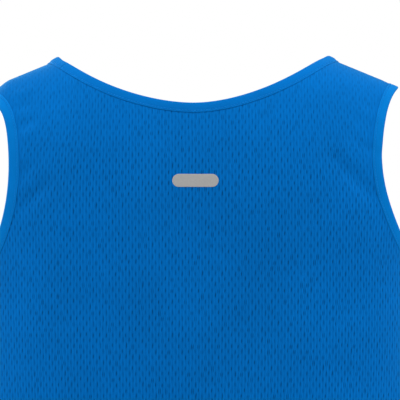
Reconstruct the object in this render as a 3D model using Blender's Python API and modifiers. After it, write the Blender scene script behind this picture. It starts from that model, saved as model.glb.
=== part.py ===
"""A running singlet, men's size L, filled out as it is worn, with no wearer.

Two mesh panels are sewn at the sides and shoulders, and a folded binding covers the raw edge of the
neck and of each armhole. The hem is turned up inside. The singlet's front faces -Y, its back +Y, and
the wearer's left is +X. The origin lies on the centre line, level with the middle of the two straps.

A place on the cloth is given as the pattern gives it: a face (BACK or FRONT), a distance across from
the centre line, and a height. Heights below the armpit are real ones. Above it they are measured up
the cloth, which leans over the shoulder to the ridge.
"""
import bmesh
import bpy
import numpy as np

MM = 0.001

# Driving dimensions, in metres.
BACK, FRONT = 1, -1
LEFT, RIGHT = 1, -1
QUARTER = 266 * MM             # a quarter of the chest, centre line to side seam
CHEST_TOP = -194 * MM          # height where the chest starts to lean in to the shoulders
HEM_HEIGHT = -705 * MM
HEM_TURN = 20 * MM
WALL = 1.1 * MM
GAP = 0.3 * MM                 # between two pieces that are sewn together
BINDING = 10 * MM              # width of a binding
LAYER = WALL + GAP             # from the middle of one layer of cloth to that of the next
RAW_EDGE = LAYER + WALL / 2    # a panel's raw edge lies this far inside its binding's edge
WELD = 0.02 * MM
SIDE_SEAM_Y = -10 * MM
SHOULDER_SLOPE = 0.41
ALONG_RIDGE = np.hypot(1, SHOULDER_SLOPE)
STRAP_MIDDLE = 160 * MM
NECK_POINT = 128 * MM
SEAM_FORWARD = 12 * MM         # the shoulder seam lies this far in front of the ridge
ROUNDNESS = 2.3                # exponent of the body's section: 2 is an ellipse
SHOULDER_ROUNDNESS = {BACK: 3.2, FRONT: 2.4}
SHOULDER_STRETCH = 1.15        # length of cloth over the shoulder, against its rise
DROOP = {LEFT: 5.7 * MM, RIGHT: 1.6 * MM}  # how far each strap sags at its outer edge
DROOP_START, DROOP_END = 176 * MM, 196 * MM
TIP_SLANT = 0.2                # an armhole's edge leans in by this as it crosses the shoulder forwards

# The body at five heights: half its width, and its depth behind and before the side seams.
BODY_COLUMNS = ("height", "half_width", "back", "front")
BODY_MM = (
    (-194, 211, 108, 120),
    (-330, 208, 107, 118),
    (-450, 201, 105, 113),
    (-580, 199, 106, 111),
    (-705, 200, 108, 111),
)

# Armhole edges. "tip" is where the edge crosses the shoulder seam. "narrow" is where the panel is
# narrowest. The handles are the lengths of the Bezier handles, in the order of the curve.
ARMHOLE_COLUMNS = ("face", "side", "armpit", "narrow", "narrow_height", "tip",
                   "armpit_handle", "lower_handle", "upper_handle", "tip_handle")
ARMHOLES_MM = (
    (BACK, RIGHT, -195, 179.0, -75, 191.1, 30, 59, 63, 33),
    (BACK, LEFT, -205, 179.4, -74.5, 196.1, 30, 90, 71, 57),
    (FRONT, RIGHT, -195, 164.5, -108, 191.1, 42, 52, 80, 12),
    (FRONT, LEFT, -205, 166.5, -112, 196.1, 42, 56, 84, 14),
)

# Neck edges: the bottom of the curve, where it crosses the shoulder seam, and its two handles.
NECK_COLUMNS = ("face", "side", "centre", "bottom", "top", "bottom_handle", "top_handle")
NECKS_MM = (
    (BACK, RIGHT, 2.0, -29.8, 127.5, 51, 50),
    (BACK, LEFT, 2.0, -29.8, 132.0, 47, 57),
    (FRONT, RIGHT, 2.0, -118, 127.5, 74, 88),
    (FRONT, LEFT, 2.0, -118, 132.0, 70, 88),
)

# Folds, as soft ridges (or troughs, with a height below 0) between two places. "girth" runs round
# the body from the centre back, to +-266 at the side seams and +-532 at the centre front.
FOLD_COLUMNS = ("girth_1", "height_1", "girth_2", "height_2", "rise", "half_width")
FOLDS_MM = (
    (142, -107, 170, -129, -1.9, 7),
    (154, -86, 169, -102, -1.4, 6.5),
    (-133, -84, -173, -119, -2.5, 8.5),
    (338, -118, 372, -96, 3.2, 9),
    (330, -150, 362, -132, 2.4, 10),
    (-338, -122, -374, -98, 3.4, 9),
    (-334, -156, -360, -138, 2.2, 10),
    (-262, -260, -205, -330, 2.6, 16),
    (258, -250, 214, -315, 2.4, 15),
    (70, -705, 58, -500, 4.6, 26),
    (128, -705, 120, -560, -4.2, 24),
    (-45, -705, -38, -540, -3.6, 28),
    (-118, -705, -104, -490, 4.8, 27),
    (-190, -705, -186, -560, -3.8, 25),
    (205, -705, 196, -530, 4.0, 27),
    (300, -705, 306, -560, -3.6, 27),
    (392, -705, 404, -500, 4.6, 28),
    (470, -705, 474, -570, -4.0, 26),
    (-286, -705, -296, -520, 4.2, 27),
    (-372, -705, -366, -570, -3.8, 27),
    (-450, -705, -458, -510, 4.4, 28),
)
FOLD_FADE = 24 * MM            # folds die out over this distance below the shoulder ridge
FOLD_ENDS = 0.2                # a fold rises from this part of a half wave, and falls back to it

# How finely the cloth is divided.
SIDE_ROWS = 10                 # below the armpit
ARMHOLE_ROWS = 28              # up the armhole
NECK_ROWS = {BACK: 16, FRONT: 20}
COLUMNS = 13                   # centre line to side seam
COLUMN_POWER = 1.25            # columns crowd towards the armhole
FOLD_STEPS = 4                 # round the fold of a binding or a hem
CURVE_POINTS = 121             # along a Bezier curve, before it is divided evenly
STEP = 0.5 * MM                # for slopes of the surface

MESH_BLUE = (0.0008, 0.115, 0.392, 1.0)
KNIT_BLUE = (0.0024, 0.174, 0.552, 1.0)


def rows_of(columns, table):
    """The table's rows as dictionaries, by the names of its columns."""
    return [dict(zip(columns, row)) for row in table]


def smooth(value):
    """Rises from 0 to 1 with level ends as the value goes from 0 to 1."""
    value = np.clip(value, 0, 1)
    return value * value * (3 - 2 * value)


def arc_fraction(across, up):
    """How far along a curve each of its points lies, from 0 to 1."""
    lengths = np.hypot(np.diff(across), np.diff(up))
    total = np.concatenate([[0], np.cumsum(lengths)])
    return total / total[-1]


# ---- the form that the cloth lies on ----

TURN = np.linspace(0, np.pi / 2, 2001)
BODY = {name: np.array(column[::-1]) * MM for name, column in zip(BODY_COLUMNS, zip(*BODY_MM))}
SECTION_X = np.sin(TURN) ** (2 / ROUNDNESS)
SECTION_Y = np.cos(TURN) ** (2 / ROUNDNESS)
SECTION_GIRTH = arc_fraction(BODY["half_width"][-1] * SECTION_X, BODY["back"][-1] * SECTION_Y)
SHOULDER_OUT = np.sin(TURN)
SHOULDER_DOWN = {face: 1 - np.cos(TURN) ** (2 / power) for face, power in SHOULDER_ROUNDNESS.items()}
SHOULDER_ASPECT = 0.38         # depth of the shoulders against their height
SHOULDER_ARC = {
    face: arc_fraction(SHOULDER_ASPECT * SHOULDER_OUT, down) for face, down in SHOULDER_DOWN.items()
}


def body_size(name, height):
    """A column of the body table at any height, smoothly between its rows."""
    heights, values = BODY["height"], BODY[name]
    slopes = np.gradient(values, heights)
    slopes[0] = slopes[-1] = 0
    below = np.clip(np.searchsorted(heights, height) - 1, 0, len(heights) - 2)
    span = heights[below + 1] - heights[below]
    part = np.clip((height - heights[below]) / span, 0, 1)
    rest = 1 - part
    ends = (1 + 2 * part) * rest ** 2 * values[below] + part ** 2 * (3 - 2 * part) * values[below + 1]
    bend = part * rest ** 2 * slopes[below] - part ** 2 * rest * slopes[below + 1]
    return ends + span * bend


def ridge_height(across):
    """Real height of the shoulder ridge, carried on over the neck as a low arch."""
    across = np.abs(across)
    neck = SHOULDER_SLOPE * (STRAP_MIDDLE - NECK_POINT)
    arch = neck + SHOULDER_SLOPE * NECK_POINT / 4 * (1 - (across / NECK_POINT) ** 4)
    return np.where(across > NECK_POINT, SHOULDER_SLOPE * (STRAP_MIDDLE - across), arch)


def ridge_on_cloth(across):
    """Height of the ridge, measured up the cloth."""
    return CHEST_TOP + SHOULDER_STRETCH * (ridge_height(across) - CHEST_TOP)


def fold_over(face, across, height):
    """A place past the side seam or past the ridge, named on the other face."""
    past = np.abs(across) > QUARTER
    face = np.where(past, -face, face)
    across = np.where(past, np.sign(across) * (2 * QUARTER - np.abs(across)), across)
    ridge = ridge_on_cloth(across)
    past = height > ridge
    return np.where(past, -face, face), across, np.where(past, 2 * ridge - height, height)


def form(face, across, height):
    """The smooth form, without folds, at places on the pattern."""
    face, across, height = fold_over(face, across, height)
    is_back = face > 0
    girth = np.abs(across) / QUARTER
    level = np.minimum(height, CHEST_TOP)
    depth = np.where(is_back, body_size("back", level), body_size("front", level))
    chest_x = body_size("half_width", level) * np.interp(girth, SECTION_GIRTH, SECTION_X)
    chest_y = SIDE_SEAM_Y + face * depth * np.interp(girth, SECTION_GIRTH, SECTION_Y)

    ridge = ridge_on_cloth(across)
    part = np.clip((ridge - height) / (ridge - CHEST_TOP), 0, 1)
    out = np.where(is_back, np.interp(part, SHOULDER_ARC[BACK], SHOULDER_OUT),
                   np.interp(part, SHOULDER_ARC[FRONT], SHOULDER_OUT))
    down = np.where(is_back, np.interp(part, SHOULDER_ARC[BACK], SHOULDER_DOWN[BACK]),
                    np.interp(part, SHOULDER_ARC[FRONT], SHOULDER_DOWN[FRONT]))
    droop = np.where(across > 0, DROOP[LEFT], DROOP[RIGHT])
    sag = droop * smooth((np.abs(across) - DROOP_START) / (DROOP_END - DROOP_START)) * (1 - down)
    top = ridge_height(across) - sag
    above = height > CHEST_TOP
    straight = np.abs(across)
    x = np.where(above, straight + (chest_x - straight) * smooth(down), chest_x)
    y = np.where(above, out * chest_y, chest_y)
    z = np.where(above, top - down * (top - CHEST_TOP), height)
    return np.stack([np.sign(across) * x, y, z], -1)


def normals_of(surface, face, across, height):
    """Unit normals of a surface at places on the pattern, pointing out of the body."""
    right = surface(face, across + STEP, height) - surface(face, across - STEP, height)
    up = surface(face, across, height + STEP) - surface(face, across, height - STEP)
    normal = np.cross(right, up) * -face
    return normal / np.linalg.norm(normal, axis=-1, keepdims=True)


def fold_rise(face, across, height):
    """How far the folds lift the cloth off the form."""
    face, across, height = fold_over(face, across, height)
    side = np.where(across < 0, -1, 1)
    girth = np.where(face > 0, across, side * 2 * QUARTER - across)
    rise = np.zeros(np.shape(across))
    for fold in rows_of(FOLD_COLUMNS, FOLDS_MM):
        start = np.array([fold["girth_1"], fold["height_1"]]) * MM
        run = np.array([fold["girth_2"], fold["height_2"]]) * MM - start
        round_body = (girth - start[0] + 2 * QUARTER) % (4 * QUARTER) - 2 * QUARTER
        up = height - start[1]
        along = np.clip((round_body * run[0] + up * run[1]) / (run @ run), 0, 1)
        away = np.hypot(round_body - along * run[0], up - along * run[1])
        swell = np.sin(np.pi * (FOLD_ENDS + (1 - 2 * FOLD_ENDS) * along))
        fade = 1 - along if fold["height_1"] * MM <= HEM_HEIGHT else swell
        rise += fold["rise"] * MM * np.exp(-(away / (fold["half_width"] * MM)) ** 2) * fade
    return rise * smooth((ridge_on_cloth(across) - height) / FOLD_FADE)


def cloth(face, across, height):
    """The middle of the cloth, with its folds, at places on the pattern."""
    lift = fold_rise(face, across, height)
    return form(face, across, height) + lift[..., None] * normals_of(form, face, across, height)


def raised(face, across, height, offset):
    """Places on the pattern, moved out from the middle of the cloth."""
    return cloth(face, across, height) + offset * normals_of(cloth, face, across, height)


# ---- the edges of the pattern ----

def bezier(points):
    """Points at even steps of a cubic Bezier's parameter."""
    part = np.linspace(0, 1, CURVE_POINTS)[:, None]
    a, b, c, d = (np.array(point, float) for point in points)
    rest = 1 - part
    return rest ** 3 * a + 3 * rest ** 2 * part * b + 3 * rest * part ** 2 * c + part ** 3 * d


def evenly(curve, count):
    """A curve's points, at even steps of its length."""
    part = arc_fraction(curve[:, 0], curve[:, 1])
    steps = np.linspace(0, 1, count)
    return np.stack([np.interp(steps, part, curve[:, 0]), np.interp(steps, part, curve[:, 1])], -1)


def shoulder_seam(face, across):
    """Height of the shoulder seam, on the face that it is reached from."""
    return ridge_on_cloth(across) + face * SEAM_FORWARD


def size_of(columns, table, face, side):
    """The row of a table for one face and side, in metres."""
    row = next(row for row in rows_of(columns, table) if (row["face"], row["side"]) == (face, side))
    return {name: value * MM for name, value in row.items()}


def armhole_lines(face, side, distances):
    """Lines beside an armhole's edge, at distances in from it, from the side seam to the shoulder."""
    size = size_of(ARMHOLE_COLUMNS, ARMHOLES_MM, face, side)
    armpit = (QUARTER, size["armpit"])
    narrow = (size["narrow"], size["narrow_height"])
    tip = (size["tip"], shoulder_seam(face, size["tip"]))
    lower = bezier((armpit, (armpit[0] - size["armpit_handle"], armpit[1]),
                    (narrow[0], narrow[1] - size["lower_handle"]), narrow))
    upper = bezier((narrow, (narrow[0], narrow[1] + size["upper_handle"]),
                    (tip[0] + face * TIP_SLANT * size["tip_handle"], tip[1] - size["tip_handle"]), tip))
    edge = evenly(np.concatenate([lower, upper[1:]]), ARMHOLE_ROWS + 1)
    lines = []
    for distance in distances:
        line = inset(face, edge, distance)
        across = tip[0] - distance / ALONG_RIDGE
        line[0] = (QUARTER, armpit[1] - distance)
        line[-1] = (across, shoulder_seam(face, across))
        lines.append(line * (side, 1))
    return lines


def neck_lines(face, side, distances):
    """Lines beside the neck's edge, at distances in from it, from the centre to the shoulder."""
    size = size_of(NECK_COLUMNS, NECKS_MM, face, side)
    bottom = (size["centre"], size["bottom"])
    top = (side * size["top"], shoulder_seam(face, size["top"]))
    edge = evenly(bezier((bottom, (bottom[0] + side * size["bottom_handle"], bottom[1]),
                          (top[0], top[1] - size["top_handle"]), top)), NECK_ROWS[face] + 1)
    lines = []
    for distance in distances:
        line = inset(face, edge, -side * distance)
        across = top[0] + side * distance / ALONG_RIDGE
        line[0] = (bottom[0], bottom[1] - distance)
        line[-1] = (across, shoulder_seam(face, across))
        lines.append(line)
    return lines


def inset(face, edge, distance):
    """An edge moved by a distance measured on the cloth, square to the edge and to its left."""
    across, height = edge.T
    by_across = (form(face, across + STEP, height) - form(face, across - STEP, height)) / (2 * STEP)
    by_height = (form(face, across, height + STEP) - form(face, across, height - STEP)) / (2 * STEP)
    slope = np.gradient(edge, axis=0)
    tangent = slope[:, :1] * by_across + slope[:, 1:] * by_height
    aside = np.cross(np.cross(by_across, by_height), tangent)
    aside *= distance / np.linalg.norm(aside, axis=1, keepdims=True)
    bases = np.stack([by_across, by_height], -1)
    return edge + [np.linalg.lstsq(base, move, rcond=None)[0] for base, move in zip(bases, aside)]


# ---- meshes ----

def add_block(mesh, points, middle=None):
    """A block of points, by row and column, as triangles. Past the middle column the diagonals turn."""
    verts = [[mesh.verts.new(point) for point in row] for row in points]
    middle = len(verts[0]) if middle is None else middle
    for low, high in zip(verts[:-1], verts[1:]):
        for column in range(len(low) - 1):
            a, b, c, d = low[column], low[column + 1], high[column + 1], high[column]
            halves = ((a, b, c), (a, c, d)) if column < middle else ((b, c, d), (b, d, a))
            for half in halves:
                mesh.faces.new(half)


def add_cloth(name, blocks, material, middle=None):
    """A wall of cloth: blocks of an open surface, joined, and thickened evenly to both sides."""
    mesh = bpy.data.meshes.new(name)
    surface = bmesh.new()
    for block in blocks:
        add_block(surface, block, middle)
    bmesh.ops.remove_doubles(surface, verts=surface.verts, dist=WELD)
    bmesh.ops.recalc_face_normals(surface, faces=surface.faces)
    surface.to_mesh(mesh)
    surface.free()
    mesh.shade_smooth()
    mesh.materials.append(material)
    thing = bpy.data.objects.new(name, mesh)
    SINGLET.objects.link(thing)
    wall = thing.modifiers.new("Wall", "SOLIDIFY")
    wall.thickness = WALL
    wall.offset = 0
    wall.use_even_offset = True
    thing.parent = SHOULDERS


def half_panel(face, side):
    """Half of a panel: its main block, the strips under the bindings and the turned hem."""
    arm_strip = armhole_lines(face, side, (BINDING, RAW_EDGE))
    neck_strip = neck_lines(face, side, (BINDING, RAW_EDGE))
    for line in arm_strip:
        line[0, 0] -= side * GAP / 2
    for line in arm_strip + neck_strip:
        line[-1, 1] -= GAP / 2

    bottom = HEM_HEIGHT + LAYER / 2
    seam = side * (QUARTER - GAP / 2)
    side_seam = np.linspace((seam, bottom), arm_strip[0][0], SIDE_ROWS + 1)
    outer = np.concatenate([side_seam[:-1], arm_strip[0]])
    centre_rows = len(outer) - len(neck_strip[0])
    centre = np.linspace((0, bottom), neck_strip[0][0], centre_rows + 1)
    inner = np.concatenate([centre[:-1], neck_strip[0]])
    parts = 1 - np.linspace(1, 0, COLUMNS + 1) ** COLUMN_POWER
    main = np.stack([inner + (outer - inner) * part for part in parts], 1)

    blocks = []
    for places in (main, np.stack(arm_strip, 1), np.stack(neck_strip, 1)):
        blocks.append(cloth(face, places[..., 0], places[..., 1]))
    blocks.append(turned_hem(face, main[0, :, 0]))
    return blocks


def turned_hem(face, across):
    """The hem: the cloth turned up inside on a small round fold."""
    radius = LAYER / 2
    rows = []
    for angle in np.linspace(0, np.pi, FOLD_STEPS + 1):
        rows.append((HEM_HEIGHT + radius * (1 - np.sin(angle)), -radius * (1 - np.cos(angle))))
    rows.append((HEM_HEIGHT + HEM_TURN, -2 * radius))
    return np.array([raised(face, across, np.full(across.shape, height), offset)
                     for height, offset in rows])


def binding_half(face, side, lines_of):
    """A binding's U-shaped middle line, row by row along one strip of a panel's edge."""
    inner, edge = lines_of(face, side, (BINDING, RAW_EDGE))
    at_edge = cloth(face, *edge.T)
    at_inner = cloth(face, *inner.T)
    edge_normal = normals_of(cloth, face, *edge.T)
    leaf = LAYER * normals_of(cloth, face, *inner.T)
    outwards = at_edge - at_inner
    outwards -= edge_normal * (outwards * edge_normal).sum(-1, keepdims=True)
    outwards /= np.linalg.norm(outwards, axis=-1, keepdims=True)
    fold = [at_edge + LAYER * (np.cos(angle) * edge_normal + np.sin(angle) * outwards)
            for angle in np.linspace(0, np.pi, FOLD_STEPS + 1)]
    return np.stack([at_inner + leaf] + fold + [at_inner - leaf], 1)


def add_panel(name, face, material):
    """The front or the back, in one piece."""
    blocks = [block for side in (LEFT, RIGHT) for block in half_panel(face, side)]
    add_cloth(name, blocks, material)


def add_binding(name, sides, lines_of, material):
    """A binding all round the neck or an armhole."""
    blocks = [binding_half(face, side, lines_of) for face in (BACK, FRONT) for side in sides]
    add_cloth(name, blocks, material, middle=FOLD_STEPS // 2 + 1)


# ---- the singlet ----

def cloth_material(name, colour, roughness):
    """A plain matt polyester."""
    material = bpy.data.materials.new(name)
    material.use_nodes = True
    shader = material.node_tree.nodes["Principled BSDF"]
    shader.inputs["Base Color"].default_value = colour
    shader.inputs["Roughness"].default_value = roughness
    shader.inputs["Metallic"].default_value = 0.0
    return material


for old in list(bpy.data.objects):
    bpy.data.objects.remove(old)
SINGLET = bpy.data.collections.new("running_singlet")
bpy.context.scene.collection.children.link(SINGLET)
SHOULDERS = bpy.data.objects.new("shoulders", None)
SINGLET.objects.link(SHOULDERS)

add_panel("back_panel", BACK, cloth_material("Back mesh", MESH_BLUE, 0.8))
add_panel("front_panel", FRONT, cloth_material("Front mesh", MESH_BLUE, 0.8))
add_binding("neck_binding", (LEFT, RIGHT), neck_lines, cloth_material("Neck knit", KNIT_BLUE, 0.7))
add_binding("armhole_binding_left", (LEFT,), armhole_lines,
            cloth_material("Left armhole knit", KNIT_BLUE, 0.7))
add_binding("armhole_binding_right", (RIGHT,), armhole_lines,
            cloth_material("Right armhole knit", KNIT_BLUE, 0.7))
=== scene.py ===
"""The looks of a running singlet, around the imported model.

Two panels of slit mesh, three folded bindings, seams, stitching and one plain reflective bar. The
panels and bindings lie on the form of the solids that they replace, so the sizes of the cut and the
functions of the form below are those of the solids.
"""

import bmesh
import bpy
import numpy as np
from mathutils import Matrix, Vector


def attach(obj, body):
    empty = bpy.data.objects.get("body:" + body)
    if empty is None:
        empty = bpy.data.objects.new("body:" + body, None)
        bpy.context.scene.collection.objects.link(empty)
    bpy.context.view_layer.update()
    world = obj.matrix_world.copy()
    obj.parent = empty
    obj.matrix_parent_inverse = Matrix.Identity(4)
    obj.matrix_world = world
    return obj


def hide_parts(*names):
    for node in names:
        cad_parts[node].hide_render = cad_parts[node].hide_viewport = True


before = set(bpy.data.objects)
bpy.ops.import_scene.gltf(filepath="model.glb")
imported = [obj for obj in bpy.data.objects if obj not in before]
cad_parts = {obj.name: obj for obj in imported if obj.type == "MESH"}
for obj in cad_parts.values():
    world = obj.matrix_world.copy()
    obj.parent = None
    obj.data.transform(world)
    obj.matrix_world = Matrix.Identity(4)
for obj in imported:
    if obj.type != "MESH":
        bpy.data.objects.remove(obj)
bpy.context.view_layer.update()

MM = 0.001

# ---- sizes that are shared with the solids ----

BACK, FRONT = 1, -1
LEFT, RIGHT = 1, -1
QUARTER = 266 * MM             # a quarter of the chest, centre line to side seam
CHEST_TOP = -194 * MM
HEM_HEIGHT = -705 * MM
HEM_TURN = 20 * MM
SIDE_SEAM_Y = -10 * MM
SHOULDER_SLOPE = 0.41
ALONG_RIDGE = np.hypot(1, SHOULDER_SLOPE)
STRAP_MIDDLE = 160 * MM
NECK_POINT = 128 * MM
SEAM_FORWARD = 12 * MM
ROUNDNESS = 2.3
SHOULDER_ROUNDNESS = {BACK: 3.2, FRONT: 2.4}
SHOULDER_STRETCH = 1.15
SHOULDER_ASPECT = 0.38
DROOP = {LEFT: 5.7 * MM, RIGHT: 1.6 * MM}
DROOP_START, DROOP_END = 176 * MM, 196 * MM
TIP_SLANT = 0.2

BODY_COLUMNS = ("height", "half_width", "back", "front")
BODY_MM = (
    (-194, 211, 108, 120),
    (-330, 208, 107, 118),
    (-450, 201, 105, 113),
    (-580, 199, 106, 111),
    (-705, 200, 108, 111),
)
ARMHOLE_COLUMNS = ("face", "side", "armpit", "narrow", "narrow_height", "tip",
                   "armpit_handle", "lower_handle", "upper_handle", "tip_handle")
ARMHOLES_MM = (
    (BACK, RIGHT, -195, 179.0, -75, 191.1, 30, 59, 63, 33),
    (BACK, LEFT, -205, 179.4, -74.5, 196.1, 30, 90, 71, 57),
    (FRONT, RIGHT, -195, 164.5, -108, 191.1, 42, 52, 80, 12),
    (FRONT, LEFT, -205, 166.5, -112, 196.1, 42, 56, 84, 14),
)
NECK_COLUMNS = ("face", "side", "centre", "bottom", "top", "bottom_handle", "top_handle")
NECKS_MM = (
    (BACK, RIGHT, 2.0, -29.8, 127.5, 51, 50),
    (BACK, LEFT, 2.0, -29.8, 132.0, 47, 57),
    (FRONT, RIGHT, 2.0, -118, 127.5, 74, 88),
    (FRONT, LEFT, 2.0, -118, 132.0, 70, 88),
)
FOLD_COLUMNS = ("girth_1", "height_1", "girth_2", "height_2", "rise", "half_width")
FOLDS_MM = (
    (142, -107, 170, -129, -1.9, 7),
    (154, -86, 169, -102, -1.4, 6.5),
    (-133, -84, -173, -119, -2.5, 8.5),
    (338, -118, 372, -96, 3.2, 9),
    (330, -150, 362, -132, 2.4, 10),
    (-338, -122, -374, -98, 3.4, 9),
    (-334, -156, -360, -138, 2.2, 10),
    (-262, -260, -205, -330, 2.6, 16),
    (258, -250, 214, -315, 2.4, 15),
    (70, -705, 58, -500, 4.6, 26),
    (128, -705, 120, -560, -4.2, 24),
    (-45, -705, -38, -540, -3.6, 28),
    (-118, -705, -104, -490, 4.8, 27),
    (-190, -705, -186, -560, -3.8, 25),
    (205, -705, 196, -530, 4.0, 27),
    (300, -705, 306, -560, -3.6, 27),
    (392, -705, 404, -500, 4.6, 28),
    (470, -705, 474, -570, -4.0, 26),
    (-286, -705, -296, -520, 4.2, 27),
    (-372, -705, -366, -570, -3.8, 27),
    (-450, -705, -458, -510, 4.4, 28),
)
FOLD_FADE = 24 * MM
FOLD_ENDS = 0.2
STEP = 0.5 * MM                # for slopes of the surface
FORM_STEPS = 2001              # points in the tables of the form's curves
CURVE_POINTS = 121

# ---- sizes of the finer form ----

# Small creases, in the same columns as the folds.
CREASES_MM = (
    (155, -12, 171.6, -17.2, 0.9, 4.5),
    (151.6, -53.3, 163, -63, 0.9, 4.5),
    (158, -30, 170, -33, -0.9, 5),
    (152, -46, 170, -54, -1.2, 6),
    (-150, -34, -174, -44, 0.7, 5),
    (-146, -62, -176, -80, -0.7, 6),
    (352, -60, 366, -52, 0.7, 5),
    (-352, -64, -368, -54, 0.7, 5),
    (236, -222, 262, -214, 0.9, 5),
    (-240, -212, -264, -206, 0.9, 5),
    (276, -224, 300, -236, 0.9, 6),
    (-276, -214, -302, -228, 0.9, 6),
    (-90, -420, 30, -455, 0.9, 15),
    (40, -380, 150, -350, -0.8, 14),
    (-200, -470, -60, -520, -0.8, 15),
    (410, -420, 500, -450, 0.9, 15),
    (-420, -390, -500, -430, -0.8, 14),
    (250, -430, 330, -470, 0.9, 14),
)

# The mesh: upright slits in columns, each column half a repeat above the next.
PITCH = 3.17 * MM              # from one column of slits to the next
REPEAT = 10.5 * MM             # from one slit to the next in a column
SLIT_WIDTH = 1.2 * MM
SLIT_LENGTH = 5.4 * MM
SLIT_DEPTH = 0.24 * MM
SLIT_WANDER = 0.45 * MM        # how far a slit may lie off the middle of its column
SLIT_RISE = 0.9 * MM           # how far it may lie above or below its row
SLIT_SLANT = 0.1               # the most that a slit leans
SLIT_PAIRS = 0.2               # the share of slits that open at both sides
PAIR_SPREAD = 0.8 * MM
UNEVEN = 0.6                   # how much the slits differ in depth
UNEVEN_LENGTH = 0.5            # and in length
SLIT_HOLLOW = 1.8              # the reach of its hollow, in half widths and half lengths
SLIT_EDGE = (0.35, 1.25)       # where its dark begins to fade and where it ends, in the same
RANDOM_CELLS = (512, 256)      # columns and rows of slits before their depths repeat
BACK_SEED, FRONT_SEED = 11, 12
YARN_WAVE = 0.1                # how far the light yarn between columns swings, in pitches
YARN_WIDTH = 0.24              # its half width, in pitches
LATTICE_ROWS = 4               # rows of vertices in a repeat
LATTICE_COLUMNS = 2            # columns of vertices in a pitch

# The columns of slits draw together by this much up the shoulders.
FAN = 11 * MM
FAN_START, FAN_END = 40 * MM, 190 * MM
FAN_BOTTOM, FAN_TOP = -140 * MM, -10 * MM

# The slits close where the cloth is pulled smooth: along the ridge and beside the shoulders' bindings.
RIDGE_FADE = 150 * MM
BESIDE_BINDING = (9.5 * MM, 17 * MM)
SHOULDER_ZONE = (-120 * MM, -80 * MM)
LEAST_SLIT = 0.2

HIDDEN_EDGE = 3.5 * MM         # a panel's raw edge lies this far inside its binding
HEM_FOLD = 0.9 * MM            # radius of the fold at the hem
HEM_FOLD_STEPS = 8
HEM_FOLD_END = np.pi / 8       # its last angle, just short of the panel's first row
SEAM_DIP = 0.75 * MM           # the panels draw in at a seam
SEAM_REACH = 1.5 * MM
SEAM_LAP = 0.1 * MM            # and each reaches this far past it

# A binding's section: distances in from its folded edge, and off the middle of the panel.
BAND_LEAF_MM = (
    (10.0, 0.10),
    (10.06, 0.28),
    (9.9, 0.46),
    (9.4, 0.62),
    (8.8, 0.66),
    (8.1, 0.56),
    (7.2, 0.72),
    (5.8, 1.00),
    (4.0, 1.16),
    (2.6, 1.24),
)
BAND_FOLD = 1.3 * MM           # radius of the folded edge
BAND_FOLD_STEPS = 6
BAND_LINING_MM = ((2.3, 0.2), (6.0, 0.2))
LINING_TURN = 0.9 * BAND_FOLD  # where the two leaves part, inside the fold
BAND_ROW = 1.9 * MM            # from one section to the next
LEFT_WIDTH, RIGHT_WIDTH = 1.12, 1.04           # the armholes' bindings against that section

# The neck binding is thicker over the shoulder seams, most of all at the wearer's left, where its ends
# are joined on the back, just below the ridge.
LAYERS_COLUMNS = ("side", "rise", "bulge", "step")
LAYERS_MM = ((LEFT, 1.4, 1.3, 14), (RIGHT, 1.2, 0.0, 12))
LAYERS_START, LAYERS_FADE = 25 * MM, 14 * MM   # distances from the shoulder seam, along the binding
LAYERS_TAPER = (11.2 * MM, 6 * MM)             # insets between which they thicken
BULGE_REACH = 5 * MM
JOIN_ENDS_MM = ((128.4, 4.7), (123.8, 7.7))    # the join's line, seen from behind
JOIN_WIDTH = 0.45 * MM
JOIN_FADE = (0.6, 0.9)                         # from its middle, in lengths of the line
JOIN_DEPTH = 5 * MM                            # it fades in over this much of the back

# The painted shadow under a binding's inner edge comes in between these heights, down an armhole.
SHADOW_LINE_ZONE = (-98 * MM, -128 * MM)
NECK_SHADOW_FADE = (45 * MM, 20 * MM)            # it fades between these distances from the seam
NECK_SHADOW_LEFT = 0.2                           # what is left of the neck's line there
SHADOW_INSET_MM = (9.85, 10.08)                  # where the line begins and is full, in from the fold
SHADOW_DARKNESS = 0.32
# How dark the painted shade is at the neck binding's join.
JOIN_SHADE_DARKNESS = 0.3
# A painted highlight along the lip of a binding's leaf: where it rises and where it fades, in from the
# fold, and how much it lightens.
LIP_HIGHLIGHT_START_MM, LIP_HIGHLIGHT_END_MM = (9.0, 9.3), (9.6, 9.9)
LIP_HIGHLIGHT = 0.3

STITCH_INSET = 8.3 * MM
STITCH_PITCH = 2.9 * MM
STITCH_LENGTH = 2.2 * MM
THREAD = 0.24 * MM             # radius
THREAD_LIFT = 0.74 * MM        # of a binding's stitches, off the middle of the panel
HEM_STITCHES = (14 * MM, 18 * MM)
PANEL_THREAD_LIFT = 0.12 * MM
STITCH_SIDES = 4

# A stitch's sections: share of its length, and thickness and rise in radii of the thread.
STITCH_SECTIONS = (
    (0.0, 0.15, -0.6),
    (0.18, 0.8, 0.3),
    (0.5, 1.0, 0.6),
    (0.82, 0.8, 0.3),
    (1.0, 0.15, -0.6),
)

BAR_WIDTH, BAR_HEIGHT = 44 * MM, 12 * MM
BAR_PLACE = (0.0, -104 * MM)
BAR_LIFT, BAR_EDGE_LIFT = 0.16 * MM, 0.04 * MM
BAR_ROWS, BAR_COLUMNS = 17, 41

MERGE_DISTANCE = 0.01 * MM     # points of a mesh that lie closer are one

# ---- finishes ----

# Noises: scale and detail, and the range that most of their values lie in.
MESH_BLOTCHES, KNIT_BLOTCHES = (14.0, 3.0), (30.0, 2.0)
YARN_NOISE, THREAD_NOISE = (1400.0, 2.0), (1400.0, 1.0)
BEAD_NOISE, DENT_NOISE = (900.0, 2.0), (350.0, 2.0)
STREAK_NOISE = (1.0, 1.0)
NOISE_RANGE = (0.3, 0.7)

# The darkest and lightest tones that they give.
MESH_TONES, KNIT_TONES, STREAK_TONES = (0.96, 1.04), (0.97, 1.03), (0.94, 1.06)

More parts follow.
